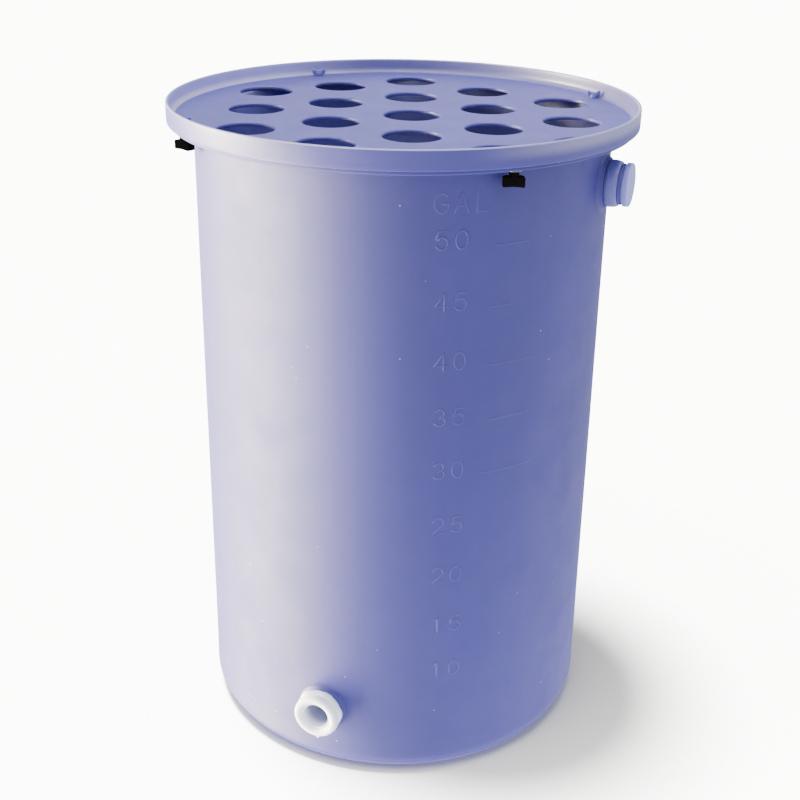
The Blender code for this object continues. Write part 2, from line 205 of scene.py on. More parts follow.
def poly_material(name, colour, rough, scuffs=True, painted_light=None, gloss=1.0):
    """Translucent moulded polyethylene: cloudy colour, faint streaks, fine peel and a few scuffs.

    painted_light is a lighter colour painted on as light and sheen, with the X and Z ranges over which it
    takes over.
    """
    s = Shader(name)
    tints = [(0.35, scaled(colour, 0.95)), (0.65, scaled(colour, 1.05))]
    cloud = s.ramp(s.noise(6.0, 3.0, (1.0, 1.0, 0.45)), tints)
    streak = s.ramp(s.noise(40.0, 2.0, (1.0, 1.0, 0.06)), [(0.3, grey(0.97)), (0.7, grey(1.0))])
    base = s.mix(1.0, cloud, streak, "MULTIPLY")
    if scuffs:
        specks = s.node("ShaderNodeTexVoronoi", Scale=55.0)
        s.link(s.coordinates(), specks.inputs["Vector"])
        dots = s.ramp(specks.outputs["Distance"], [(0.035, grey(1.0)), (0.06, grey(0.0))])
        patches = s.ramp(s.noise(7.0, 2.0), [(0.50, grey(0.0)), (0.60, grey(0.7))])
        splashed = s.product(s.band("Z", *SPLASH_Z), s.band("X", *SPLASH_X))
        patches = s.mix(splashed, patches, grey(0.85))
        chance = s.ramp(s.noise(53.0, 0.0), [(0.55, grey(0.0)), (0.58, grey(1.0))])
        mask = s.mix(1.0, s.mix(1.0, dots, patches, "MULTIPLY"), chance, "MULTIPLY")
        base = s.mix(mask, base, (0.80, 0.80, 0.84))
    # Painted light: within the given X and Z ranges the surface goes over to a lighter colour that stands for
    # light and sheen falling there.
    if painted_light:
        colour, side, height = painted_light
        base = s.mix(s.product(s.band("X", *side), s.band("Z", *height)), base, colour)
    s.link(base, s.bsdf.inputs["Base Color"])
    rough_map = s.ramp(s.noise(18.0, 3.0), [(0.3, grey(rough - 0.04)), (0.7, grey(rough + 0.05))])
    s.link(rough_map, s.bsdf.inputs["Roughness"])
    s.bump((s.noise(9.0, 2.0, (1.0, 1.0, 0.5)), 0.0020, 0.20), (s.noise(420.0, 2.0), 0.0003, 0.25))
    s.set(IOR=1.51, Specular_IOR_Level=gloss, Subsurface_Weight=0.40, Subsurface_Scale=0.012,
          Subsurface_Radius=(0.30, 0.36, 1.0))
    return s.material


def white_material(name, colour=(0.83, 0.85, 0.96), deep=None):
    """Moulded white plastic; deep is a darker blue-grey painted down in the drain's bore as painted shade."""
    s = Shader(name)
    base = s.ramp(s.noise(30.0, 3.0), [(0.3, scaled(colour, 0.95)), (0.7, scaled(colour, 1.02))])
    # Painted shade: the colour goes over to the darker blue-grey down in the bore.
    if deep:
        base = s.mix(s.band("Y", *BORE_SHADE_Y), base, deep)
    s.link(base, s.bsdf.inputs["Base Color"])
    s.link(s.ramp(s.noise(80.0, 2.0), [(0.3, grey(0.36)), (0.7, grey(0.46))]), s.bsdf.inputs["Roughness"])
    s.bump((s.noise(600.0, 2.0), 0.0002, 0.2))
    s.set(IOR=1.49, Subsurface_Weight=0.25, Subsurface_Scale=0.004, Subsurface_Radius=(1.0, 1.0, 1.0))
    return s.material


def black_material(name):
    s = Shader(name)
    base = s.ramp(s.noise(120.0, 3.0), [(0.3, (0.0105, 0.0100, 0.0092)), (0.7, (0.0140, 0.0132, 0.0125))])
    s.link(base, s.bsdf.inputs["Base Color"])
    s.link(s.ramp(s.noise(300.0, 2.0), [(0.3, grey(0.50)), (0.7, grey(0.60))]), s.bsdf.inputs["Roughness"])
    s.bump((s.noise(900.0, 2.0), 0.0001, 0.3))
    s.set(Specular_IOR_Level=0.03)
    return s.material


def steel_material(name):
    s = Shader(name)
    turned = s.noise(900.0, 2.0, (1.0, 1.0, 0.2))
    s.link(s.ramp(turned, [(0.3, grey(0.22)), (0.7, grey(0.30))]), s.bsdf.inputs["Base Color"])
    s.link(s.ramp(s.noise(400.0, 2.0), [(0.3, grey(0.22)), (0.7, grey(0.38))]), s.bsdf.inputs["Roughness"])
    s.bump((turned, 0.00005, 0.3))
    s.set(Metallic=1.0)
    return s.material


def rubber_material(name):
    s = Shader(name)
    tint = [(0.3, (0.130, 0.134, 0.400)), (0.7, (0.148, 0.152, 0.440))]
    s.link(s.ramp(s.noise(200.0, 4.0), tint), s.bsdf.inputs["Base Color"])
    s.link(s.ramp(s.noise(500.0, 2.0), [(0.3, grey(0.62)), (0.7, grey(0.80))]), s.bsdf.inputs["Roughness"])
    s.bump((s.noise(1500.0, 3.0), 0.0001, 0.4))
    return s.material


BLUE = (0.052, 0.051, 0.285)
tank_plastic = poly_material("tank_polyethylene", BLUE, 0.59)
# Painted highlight: the raised numbers, unit and ticks take a lighter copy of the tank plastic, so their
# ridges read as catching the light.
mark_painted_highlight_plastic = poly_material("mark_polyethylene", scaled(BLUE, 1.25), 0.59, scuffs=False)
# Painted light: the wall's inside is a lighter copy of the tank plastic, lighter still lower down, and darker
# near the top under the lid as painted shade.
inner_plastic = poly_material("tank_inside_polyethylene", (0.240, 0.240, 0.450), 0.65, scuffs=False,
                              painted_light=((0.470, 0.460, 0.660), (-2.0, -1.0), (0.84, 0.70)))
# Painted shade: the underside of the foot takes a dull copy of the tank plastic in the colour of the wall's
# shade, in place of the bright reflection it would show.
foot_painted_shade_plastic = poly_material("foot_polyethylene", (0.085, 0.083, 0.290), 0.80, scuffs=False, gloss=0.15)
lid_plastic = poly_material("lid_polyethylene", (0.076, 0.075, 0.340), 0.46, scuffs=False)
# Painted light and shade on the lid's one piece of plastic: the outer rim is a slightly darker copy, painted
# shade, with a painted sheen high on its right side; the rim's inside is a lighter copy, painted light,
# lighter still high on its left; the crown is a much lighter copy, a painted highlight.
rim_plastic = poly_material("rim_polyethylene", (0.066, 0.065, 0.325), 0.46, scuffs=False,
                            painted_light=((0.25, 0.25, 0.42), (0.17, 0.29), (0.892, 0.906)))
rim_inner_plastic = poly_material("rim_inner_polyethylene", (0.165, 0.162, 0.380), 0.42, scuffs=False,
                                  painted_light=((0.40, 0.39, 0.58), (-0.15, -0.29), (0.885, 0.895)))
crown_painted_highlight_plastic = poly_material("crown_polyethylene", (0.300, 0.295, 0.470), 0.42, scuffs=False)
fitting_plastic = poly_material("fitting_polyethylene", (0.170, 0.176, 0.500), 0.44, scuffs=False)
plug_plastic = poly_material("plug_polyethylene", (0.300, 0.300, 0.700), 0.44, scuffs=False)
bolt_plastic = poly_material("bolt_polyethylene", (0.160, 0.160, 0.430), 0.75, scuffs=False)
white_plastic = white_material("drain_white_plastic")
# Painted shade: the drain's bore turns a darker blue-grey deep inside.
drain_bore_plastic = white_material("drain_bore_plastic", deep=(0.39, 0.42, 0.64))
black_plastic = black_material("nut_black_nylon")
steel = steel_material("washer_steel")
rubber = rubber_material("seal_rubber")


# ---------------------------------------------------------------- mesh helpers
def finish_mesh(name, bm, material, body, nodes=(), placing=None, smooth=35.0, regions=()):
    """Turn a bmesh into a named piece that rides on a body.

    regions lists (material, test) pairs; a face whose centre passes the test takes that material.
    """
    bmesh.ops.recalc_face_normals(bm, faces=bm.faces)
    mesh = bpy.data.meshes.new(name)
    bm.to_mesh(mesh)
    bm.free()
    mesh.shade_smooth()
    mesh.set_sharp_from_angle(angle=math.radians(smooth))
    if placing is not None:
        mesh.transform(placing)
    obj = bpy.data.objects.new(name, mesh)
    bpy.context.scene.collection.objects.link(obj)
    mesh.materials.append(material)
    for index, (other, test) in enumerate(regions):
        mesh.materials.append(other)
        for polygon in mesh.polygons:
            if test(polygon.center, polygon.normal):
                polygon.material_index = index + 1
    if body:
        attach(obj, body)
    if nodes:
        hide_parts(*nodes)
    return obj


def arc(cx, cz, radius, start, end, steps):
    turn = [math.radians(start + (end - start) * i / steps) for i in range(steps + 1)]
    return [(cx + radius * math.cos(a), cz + radius * math.sin(a)) for a in turn]


def rounded(corners, steps=4):
    """Outline through corners (x, z, radius); each corner is rounded with its own radius."""
    outline = []
    count = len(corners)
    for i, (x, z, radius) in enumerate(corners):
        here = Vector((x, z))
        before = Vector(corners[i - 1][:2]) - here
        after = Vector(corners[(i + 1) % count][:2]) - here
        if radius <= 0.0 or before.length < 1e-9 or after.length < 1e-9:
            outline.append((x, z))
            continue
        angle = before.angle(after)
        back = min(radius / math.tan(angle / 2), 0.49 * before.length, 0.49 * after.length)
        start = here + before.normalized() * back
        end = here + after.normalized() * back
        for k in range(steps + 1):
            t = k / steps
            a = start.lerp(here, t)
            b = here.lerp(end, t)
            outline.append(tuple(a.lerp(b, t)))
    return outline


def lathe(profile, segments, shape=None):
    """Surface of revolution about Z; points on the axis become poles.  shape moves each point."""
    bm = bmesh.new()
    rings = []
    for r, z in profile:
        if r < 1e-7:
            rings.append([bm.verts.new((0.0, 0.0, z))])
            continue
        ring = []
        for i in range(segments):
            a = math.tau * i / segments
            rr, zz = (r, z) if shape is None else shape(r, z, a)
            ring.append(bm.verts.new((rr * math.cos(a), rr * math.sin(a), zz)))
        rings.append(ring)
    pairs = list(zip(rings, rings[1:]))
    if len(rings[0]) > 1 and len(rings[-1]) > 1:
        pairs.append((rings[-1], rings[0]))
    for one, two in pairs:
        for i in range(segments):
            j = (i + 1) % segments
            corners = [one[i % len(one)], one[j % len(one)], two[j % len(two)], two[i % len(two)]]
            corners = list(dict.fromkeys(corners))
            if len(corners) > 2:
                bm.faces.new(corners)
    return bm


def prism(outline, bottom, top):
    bm = bmesh.new()
    lower = [bm.verts.new((x, y, bottom)) for x, y in outline]
    upper = [bm.verts.new((x, y, top)) for x, y in outline]
    bm.faces.new(lower[::-1])
    bm.faces.new(upper)
    for i in range(len(outline)):
        j = (i + 1) % len(outline)
        bm.faces.new((lower[i], lower[j], upper[j], upper[i]))
    return bm


def bevelled(bm, width, segments=2, angle=30.0):
    """Round every edge of a closed mesh that is sharper than an angle."""
    bm.normal_update()
    edges = [e for e in bm.edges if e.is_manifold and e.calc_face_angle(0.0) > math.radians(angle)]
    bmesh.ops.bevel(bm, geom=edges, offset=width, segments=segments, profile=0.5, affect="EDGES",
                    clamp_overlap=True)
    return bm


def combined(first, second, operation):
    """Boolean of two bmeshes, which are both used up."""
    objects = []
    for bm in (first, second):
        bmesh.ops.recalc_face_normals(bm, faces=bm.faces)
        mesh = bpy.data.meshes.new("guide")
        bm.to_mesh(mesh)
        bm.free()
        obj = bpy.data.objects.new("guide", mesh)
        bpy.context.scene.collection.objects.link(obj)
        objects.append(obj)
    boolean = objects[0].modifiers.new("boolean", "BOOLEAN")
    boolean.operation = operation
    boolean.solver = "EXACT"
    boolean.object = objects[1]
    graph = bpy.context.evaluated_depsgraph_get()
    result = bmesh.new()
    result.from_mesh(objects[0].evaluated_get(graph).to_mesh())
    for obj in objects:
        mesh = obj.data
        bpy.data.objects.remove(obj)
        bpy.data.meshes.remove(mesh)
    bmesh.ops.remove_doubles(result, verts=result.verts, dist=1e-6)
    return result


def join(target, extra):
    """Add one bmesh to another, without a Boolean; the extra one is used up."""
    mesh = bpy.data.meshes.new("loose")
    extra.to_mesh(mesh)
    extra.free()
    target.from_mesh(mesh)
    bpy.data.meshes.remove(mesh)


def circle(radius, segments, x=0.0, y=0.0):
    turn = [math.tau * i / segments for i in range(segments)]
    return [(x + radius * math.cos(a), y + radius * math.sin(a)) for a in turn]


def sideways(angle, height):
    """Frame whose local Z points out of the tank, with its origin on the tank's axis."""
    out = Vector((math.cos(angle), math.sin(angle), 0.0))
    along = Vector((-math.sin(angle), math.cos(angle), 0.0))
    rotation = Matrix((along, Vector((0.0, 0.0, 1.0)), out)).transposed().to_4x4()
    return Matrix.Translation((0.0, 0.0, height)) @ rotation


def smoothstep(x, start, end):
    t = min(1.0, max(0.0, (x - start) / (end - start)))
    return t * t * (3.0 - 2.0 * t)


# ---------------------------------------------------------------- tank
PADS = ((DRAIN_SIDE, DRAIN_Z, DRAIN_HOLE), (OVERFLOW_SIDE, OVERFLOW_Z, OVERFLOW_HOLE))
PORT_CUT = (0.262, 0.300)
OFF_SEAM = 0.031
TANK_SEGMENTS = 288
FLANGE_FILLET = 0.0040
FLANGE_EDGE = 0.0016
MOUTH_EDGE = 0.0025
# The wall's waves fade in above the foot, out below the flange, and away around each pad.
WAVE_FOOT = (0.030, 0.090)
WAVE_TOP = (0.830, 0.872)
WAVE_PAD = (0.045, 0.110)
WAVE_SINK = 0.00025
UNDER_FOOT_Z = 0.030


def straight_radius(z):
    return TANK_FOOT + (TANK_MOUTH - TANK_FOOT) * z / FLANGE_TOP


def wall_wave(angle, z):
    """Slight hand of the moulding: the wall isn't a perfect cylinder."""
    x, y = math.cos(angle), math.sin(angle)
    wave = 0.00045 * noise.noise(Vector((2.2 * x, 2.2 * y, 2.0 * z)))
    wave += 0.00016 * noise.noise(Vector((6.0 * x, 6.0 * y, 5.0 * z + 7.0)))
    wave *= smoothstep(z, *WAVE_FOOT) * (1.0 - smoothstep(z, *WAVE_TOP))
    for pad_angle, pad_z, _ in PADS:
        around = (angle - pad_angle + math.pi) % math.tau - math.pi
        away = math.hypot(around * TANK_FOOT, z - pad_z)
        wave *= smoothstep(away, *WAVE_PAD)
    return wave - WAVE_SINK


def wall_radius(angle, z):
    return straight_radius(z) + wall_wave(angle, z)


def on_wall(angle, z, lift):
    r = wall_radius(angle, z) + lift
    return Vector((r * math.cos(angle), r * math.sin(angle), z))


def tank_profile():
    """Outer skin from the underside to the flange, over the mouth and down the inside."""
    foot = TANK_FOOT - FOOT_FILLET
    profile = [(0.0, 0.0), (0.10, 0.0), (0.20, 0.0), (foot - 0.006, 0.0)]
    profile += arc(foot, FOOT_FILLET, FOOT_FILLET, -90, 0, 14)
    steps = 110
    top = FLANGE_LOW - FLANGE_FILLET
    for i in range(1, steps + 1):
        z = FOOT_FILLET + (top - FOOT_FILLET) * i / steps
        profile.append((straight_radius(z), z))
    profile += arc(straight_radius(top) + FLANGE_FILLET, top, FLANGE_FILLET, 180, 90, 6)[1:]
    edge = FLANGE_RADIUS - 0.0002
    ledge = [(edge - 0.004, FLANGE_LOW, 0.0), (edge, FLANGE_LOW, FLANGE_EDGE),
             (edge, FLANGE_TOP, FLANGE_EDGE), (edge - 0.004, FLANGE_TOP, 0.0)]
    profile += rounded(ledge, 5)
    bore = TANK_MOUTH - TANK_WALL
    profile += [(bore + 0.008, FLANGE_TOP)]
    profile += arc(bore + MOUTH_EDGE, FLANGE_TOP - MOUTH_EDGE, MOUTH_EDGE, 90, 180, 5)
    inner = FOOT_FILLET - TANK_WALL
    for i in range(1, 24):
        z = FLANGE_TOP - MOUTH_EDGE + (TANK_FLOOR + inner - FLANGE_TOP) * i / 24
        profile.append((straight_radius(z) - TANK_WALL, z))
    profile += arc(foot, TANK_FLOOR + inner, inner, 0, -90, 10)
    profile += [(0.20, TANK_FLOOR), (0.10, TANK_FLOOR), (0.0, TANK_FLOOR)]
    return profile


def build_tank():
    """Wall, closed bottom and mouth flange as one skin, cut for the two ports and the four bolts."""
    def waved(r, z, angle):
        if r < straight_radius(z) - 0.002 or r > straight_radius(z) + 0.0002:
            return r, z
        return r + wall_wave(angle, z) * smoothstep(z, *WAVE_FOOT), z

    shell = lathe(tank_profile(), TANK_SEGMENTS, waved)
    cutters = bmesh.new()
    for angle, z, radius in PADS:
        tool = prism(circle(radius, 48), *PORT_CUT)
        tool.transform(sideways(angle, z) @ Matrix.Rotation(OFF_SEAM, 4, "Z"))
        join(cutters, tool)
    for bolt in BOLTS:
        join(cutters, prism(circle(BOLT_HOLE, 24, bolt.x, bolt.y), FLANGE_LOW - 0.004, FLANGE_TOP + 0.004))
    shell = combined(shell, cutters, "DIFFERENCE")

    # The inside of the wall takes the copy of the plastic with painted light, the underside of the foot the
    # one with painted shade.
    def inside(centre, normal):
        return centre.z > 0.003 and math.hypot(centre.x, centre.y) < straight_radius(centre.z) - 0.0035

    def under_foot(centre, normal):
        return centre.z < UNDER_FOOT_Z and normal.z < -0.35

    finish_mesh("tank_shell", shell, tank_plastic, "tank", ("tank_body", "tank_floor", "tank_flange"),
                regions=((inner_plastic, inside), (foot_painted_shade_plastic, under_foot)))


def build_pad(name, angle, height, radius, face, bore, flare):
    """Moulded boss: a flat round face that flows into the curved wall with a soft fillet."""
    segments, steps = 72, 7
    knee_out, chamfer, depth = 0.0006, 0.0016, 0.0060
    out = sideways(angle, height)
    bm = bmesh.new()

    def wall_point(reach, turn, lift):
        across, up = reach * math.cos(turn), reach * math.sin(turn)
        return on_wall(angle + across / straight_radius(height), height + up, lift)

    rings = [[] for _ in range(steps + 6)]
    for i in range(segments):
        turn = math.tau * i / segments
        ray = Vector((math.cos(turn), math.sin(turn), 0.0))
        start = wall_point(radius + flare, turn, 0.00002)
        knee = wall_point(radius + knee_out, turn, 0.0)
        top = out @ (ray * (radius - chamfer) + Vector((0, 0, face)))
        points = []
        for k in range(steps + 1):
            t = k / steps
            a, b = start.lerp(knee, t), knee.lerp(top, t)
            points.append(a.lerp(b, t))
        points.append(out @ (ray * (radius - 0.0026) + Vector((0, 0, face))))
        points.append(out @ (ray * bore + Vector((0, 0, face))))
        points.append(out @ (ray * bore + Vector((0, 0, face - depth))))
        points.append(wall_point(radius, turn, -0.0030))
        points.append(wall_point(radius + flare, turn, -0.0020))
        for ring, point in zip(rings, points):
            ring.append(bm.verts.new(point))
    for one, two in zip(rings, rings[1:] + rings[:1]):
        for i in range(segments):
            j = (i + 1) % segments
            bm.faces.new((one[i], one[j], two[j], two[i]))
    finish_mesh(name, bm, tank_plastic, "tank", smooth=50.0)


# ---------------------------------------------------------------- moulded scale
def oval(cx, cy, rx, ry, start, end, steps=18):
    turn = [math.radians(start + (end - start) * i / steps) for i in range(steps + 1)]
    return [(cx + rx * math.cos(a), cy + ry * math.sin(a)) for a in turn]


# Strokes of each character in a box one unit high.
GLYPHS = {
    "0": [oval(0.34, 0.50, 0.32, 0.50, 90, 450, 32)],
    "1": [[(0.16, 0.78), (0.36, 1.0), (0.36, 0.0)]],
    "2": [oval(0.34, 0.70, 0.30, 0.30, 165, -38) + [(0.03, 0.0), (0.68, 0.0)]],
    "3": [oval(0.32, 0.74, 0.27, 0.26, 150, -80) + oval(0.33, 0.27, 0.32, 0.27, 80, -150)],
    "4": [[(0.52, 1.0), (0.02, 0.27), (0.70, 0.27)], [(0.52, 1.0), (0.52, 0.0)]],
    "5": [[(0.62, 1.0), (0.14, 1.0), (0.08, 0.52)] + oval(0.33, 0.33, 0.32, 0.33, 132, -150)],
    "G": [oval(0.40, 0.50, 0.38, 0.50, 42, 330, 26) + [(0.78, 0.46), (0.44, 0.46)]],
    "A": [[(0.0, 0.0), (0.36, 1.0), (0.72, 0.0)], [(0.12, 0.34), (0.60, 0.34)]],
    "L": [[(0.08, 1.0), (0.08, 0.0), (0.60, 0.0)]],
}
# Foot of each number in metres, by its value in US gallons.
SCALE_HEIGHTS = ((10, 0.1680), (15, 0.2415), (20, 0.3200), (25, 0.3960), (30, 0.4770),
                 (35, 0.5526), (40, 0.6284), (45, 0.7064), (50, 0.7842))
# Ridges beside the upper numbers: value, and the angles in degrees between which they run.
TICKS = ((30, -47.3, -30.9), (35, -45.1, -32.8), (40, -45.8, -31.8), (45, -46.2, -39.9), (50, -45.6, -36.0))
TICK_RAISE = 0.0006
TICK_SIZE = (0.0020, 0.0005)
# Sizes of the characters: height and pitch.  The column of numbers starts at an angle in degrees and
# leans by NUMBER_LEAN over its span.
NUMBER_SIZE = (0.0225, 0.0245)
NUMBER_START = -58.9
NUMBER_LEAN = 1.9
NUMBER_FOOT = 0.168
NUMBER_SPAN = 0.616
UNIT_SIZE = (0.0235, 0.0255)
UNIT_START = math.radians(-61.4)
UNIT_Z = 0.8290
STROKE = 0.0026
NUMBER_LIFT = 0.0006
UNIT_LIFT = 0.0003


def ridge(bm, path, width, lift, sink=0.0008):
    """Rounded ridge that follows a path of (angle, z) points over the wall."""
    spread = [(-1.0, -sink), (-0.95, 0.10 * lift), (-0.62, 0.72 * lift), (0.0, lift),
              (0.62, 0.72 * lift), (0.95, 0.10 * lift), (1.0, -sink)]
    flat = [Vector((a * TANK_FOOT, z)) for a, z in path]
    closed = (flat[0] - flat[-1]).length < 1e-6
    if closed:
        flat = flat[:-1]
    count = len(flat)
    rings = []

    def ring_at(point, normal, size):
        ring = []
        for side, height in spread:
            place = point + normal * (side * width / 2 * size)
            rise = height * (size if height > 0 else 1.0)
            ring.append(bm.verts.new(on_wall(place.x / TANK_FOOT, place.y, rise)))
        return ring

    for i, point in enumerate(flat):
        ahead = flat[(i + 1) % count] if closed or i + 1 < count else point
        behind = flat[i - 1] if closed or i else point
        heading = (ahead - behind).normalized()
        into, out_of = (point - behind), (ahead - point)
        normal = Vector((-heading.y, heading.x))
        if into.length > 1e-9 and out_of.length > 1e-9:
            bend = max(0.5, math.cos(into.angle(out_of) / 2))
            normal /= bend
        if not closed and i == 0:
            rings.append(ring_at(point - heading * width * 0.45, normal, 0.35))
            rings.append(ring_at(point - heading * width * 0.25, normal, 0.80))
        rings.append(ring_at(point, normal, 1.0))
        if not closed and i == count - 1:
            rings.append(ring_at(point + heading * width * 0.25, normal, 0.80))
            rings.append(ring_at(point + heading * width * 0.45, normal, 0.35))
    pairs = list(zip(rings, rings[1:]))
    if closed:
        pairs.append((rings[-1], rings[0]))
    else:
        bm.faces.new(rings[0])
        bm.faces.new(rings[-1][::-1])
    wide = len(spread)
    for one, two in pairs:
        for i in range(wide):
            j = (i + 1) % wide
            bm.faces.new((one[i], one[j], two[j], two[i]))


def glyph_paths(text, left, bottom, tall, pitch):
    """Paths in (angle, z) for a word that starts at an angle on the wall."""
    for place, character in enumerate(text):
        for stroke in GLYPHS[character]:
            yield [(left + (place * pitch + x * tall) / TANK_MOUTH, bottom + y * tall) for x, y in stroke]


def build_scale():
    """Numbers, unit and ticks; the column of numbers leans a little along its height."""
    for value, z in SCALE_HEIGHTS:
        bm = bmesh.new()
        left = math.radians(NUMBER_START - NUMBER_LEAN * (z - NUMBER_FOOT) / NUMBER_SPAN)
        for path in glyph_paths(str(value), left, z, *NUMBER_SIZE):
            ridge(bm, path, STROKE, NUMBER_LIFT)
        finish_mesh("scale_%d" % value, bm, mark_painted_highlight_plastic, "tank", smooth=60.0)
    bm = bmesh.new()
    for path in glyph_paths("GAL", UNIT_START, UNIT_Z, *UNIT_SIZE):
        ridge(bm, path, STROKE, UNIT_LIFT)
    finish_mesh("scale_unit", bm, mark_painted_highlight_plastic, "tank", smooth=60.0)
    heights = dict(SCALE_HEIGHTS)
    bm = bmesh.new()
    for value, start, end in TICKS:
        steps = 10
        turn = [math.radians(start + (end - start) * i / steps) for i in range(steps + 1)]
        ridge(bm, [(a, heights[value] + TICK_RAISE) for a in turn], *TICK_SIZE)
    finish_mesh("scale_ticks", bm, mark_painted_highlight_plastic, "tank", smooth=60.0)


# ---------------------------------------------------------------- lid
def hole_centres():
    turn = Matrix.Rotation(HOLE_TURN, 2)
    for column, rows in HOLE_ROWS.items():
        for row in rows:
            x = HOLE_SHIFT[0] + column * HOLE_STEP[0]
            y = HOLE_SHIFT[1] + column * HOLE_STAGGER + row * HOLE_STEP[1]
            yield turn @ Vector((x, y))


def pulled_in(x, y, limit):
    reach = math.hypot(x, y)
    shrink = min(1.0, limit / reach)
    return x * shrink, y * shrink


def floor_wave(x, y):
    """The lid's floor sags and ripples a little between its holes."""
    away = math.hypot(x, y)
    fade = 1.0 - smoothstep(away, 0.270, 0.300)
    return -0.0003 * fade * (0.5 + 0.5 * noise.noise(Vector((9.0 * x, 9.0 * y, 3.0))))


def build_lid():
    """One skin: rippled floor with flared holes and bolt holes, flat underside, cove and raised rim."""
    inner = LID_RADIUS - LID_WALL
    outer_ring = inner - LID_COVE
    # Rings of each opening: radius outside the hole's own, depth below the floor.
    lip = 0.0026
    lip_rings = [(lip + 0.0022, 0.0), (lip, 0.0)]
    for k in range(1, 6):
        a = math.radians(18.0 * k)
        lip_rings.append((lip * (1.0 - math.sin(a)), lip * (1.0 - math.cos(a))))
    thick = LID_FLOOR - LID_UNDER
    lip_rings += [(0.0002, thick - 0.0006), (0.0008, thick)]

    openings = []
    for centre in hole_centres():
        openings.append((centre.x, centre.y, HOLE_RADIUS, 72, HOLE_REACH, lip_rings))
    small = [(0.0006, 0.0), (0.0003, 0.0), (0.0, 0.0003), (0.0, thick - 0.0002), (0.0002, thick)]
    for bolt in BOLTS:
        openings.append((bolt.x, bolt.y, BOLT_HOLE, 20, 1.0, small))

    count = TANK_SEGMENTS
    points, edges = [], []

    def add_loop(loop):
        start = len(points)
        points.extend(Vector(p) for p in loop)
        for i in range(len(loop)):
            edges.append((start + i, start + (i + 1) % len(loop)))
        return list(range(start, start + len(loop)))

    outside = add_loop(circle(outer_ring, count))
    loops = []
    for x, y, radius, segments, reach, rings in openings:
        made = []
        for grow, depth in rings:
            loop = [pulled_in(px, py, reach + grow) for px, py in circle(radius + grow, segments, x, y)]
            made.append((loop, depth))
        loops.append(made)
    floor_loops = [[add_loop(made[0][0]), add_loop(made[1][0])] for made in loops]
    # A net of triangles fills the floor between the openings, so that it can ripple.
    step, clear_of_rim, clear_of_hole = 0.0150, 0.007, 0.011
    cells = int(outer_ring / step) + 1
    for i in range(-cells, cells + 1):
        for j in range(-cells, cells + 1):
            x, y = (i + 0.5 * (j % 2)) * step, j * step * 0.866
            if math.hypot(x, y) > outer_ring - clear_of_rim:
                continue
            if all(math.hypot(x - ox, y - oy) > radius + clear_of_hole for ox, oy, radius, *_ in openings):
                points.append(Vector((x, y)))
    flat, _, faces, origins, *_ = delaunay_2d_cdt(points, edges, [], 1, 1e-7)
    place = {source: i for i, sources in enumerate(origins) for source in sources}

    def inside_an_opening(x, y):
        for ox, oy, radius, _, limit, rings in openings:
            grow = rings[1][0]
            if math.hypot(x - ox, y - oy) < (radius + grow) * 0.9985 and math.hypot(x, y) < limit + grow:
                return True
        return False

    faces = [f for f in faces
             if not inside_an_opening(*(sum((flat[v] for v in f), Vector((0.0, 0.0))) / len(f)))]
    bm = bmesh.new()
    top = [bm.verts.new((p.x, p.y, LID_FLOOR + floor_wave(p.x, p.y))) for p in flat]
    bottom = {}
    for face in faces:
        bm.faces.new([top[v] for v in face])
    # From every opening's inner floor loop, walk down its wall.
    for made, (_, edge_loop) in zip(loops, floor_loops):
        edge_loop = [place[i] for i in edge_loop]
        previous = [top[i] for i in edge_loop]
        for loop, depth in made[2:]:
            ring = [bm.verts.new((x, y, LID_FLOOR - depth + floor_wave(x, y) * (1.0 - depth / thick)))
                    for x, y in loop]
            for i in range(len(ring)):
                j = (i + 1) % len(ring)
                bm.faces.new((previous[i], previous[j], ring[j], ring[i]))
            previous = ring
        bottom.update(zip(edge_loop, previous))
    for i, p in enumerate(flat):
        if i not in bottom:
            bottom[i] = bm.verts.new((p.x, p.y, LID_UNDER))
    for face in faces:
        bm.faces.new([bottom[v] for v in reversed(face)])
    # Rim: cove, wall, rounded crown, outer wall and back under to the floor's edge.
    crown = LID_WALL / 2
    rim = arc(outer_ring, LID_FLOOR + LID_COVE, LID_COVE, -90, 0, 8)[1:]
    rim += [(inner, LID_FLOOR + LID_COVE + 0.004)]
    rim += arc(LID_RADIUS - crown, LID_TOP - crown, crown, 180, 0, 10)
    rim += [(LID_RADIUS, LID_TOP - 0.010), (LID_RADIUS, LID_UNDER + 0.006)]
    rim += arc(LID_RADIUS - 0.0014, LID_UNDER + 0.0014, 0.0014, 0, -90, 4)
    previous = [top[place[i]] for i in outside]
    under = [bottom[place[i]] for i in outside]
    for r, z in rim:
        ring = [bm.verts.new((x, y, z)) for x, y in circle(r, count)]
        for i in range(count):
            j = (i + 1) % count
            bm.faces.new((previous[i], previous[j], ring[j], ring[i]))
        previous = ring
    for i in range(count):
        j = (i + 1) % count
        bm.faces.new((previous[i], previous[j], under[j], under[i]))
    bmesh.ops.delete(bm, geom=[v for v in bm.verts if not v.link_faces], context="VERTS")

    # The rim, its inside and the crown take copies of the lid plastic that carry painted shade and sheen,
    # painted light and a painted highlight.
    rim_start = inner + 0.0012

    def on_rim(centre, normal):
        return math.hypot(centre.x, centre.y) > rim_start

    def on_rim_inside(centre, normal):
        reach = math.hypot(centre.x, centre.y)
        return outer_ring + 0.002 < reach <= rim_start and centre.z > LID_FLOOR

    def on_crown(centre, normal):
        return centre.z > LID_TOP - 0.0014

    finish_mesh("lid_shell", bm, lid_plastic, "lid", ("lid_tray", "lid_rim"),
                smooth=40.0, regions=((rim_plastic, on_rim), (rim_inner_plastic, on_rim_inside),
                                      (crown_painted_highlight_plastic, on_crown)))


# ---------------------------------------------------------------- bolts, washers, wing nuts
def wing_plate(outline, thickness, round_over):
    bm = prism(outline, -thickness / 2, thickness / 2)
    bmesh.ops.rotate(bm, verts=bm.verts, cent=(0, 0, 0), matrix=Matrix.Rotation(math.pi / 2, 3, "X"))
    return bevelled(bm, round_over, 3, 50.0)


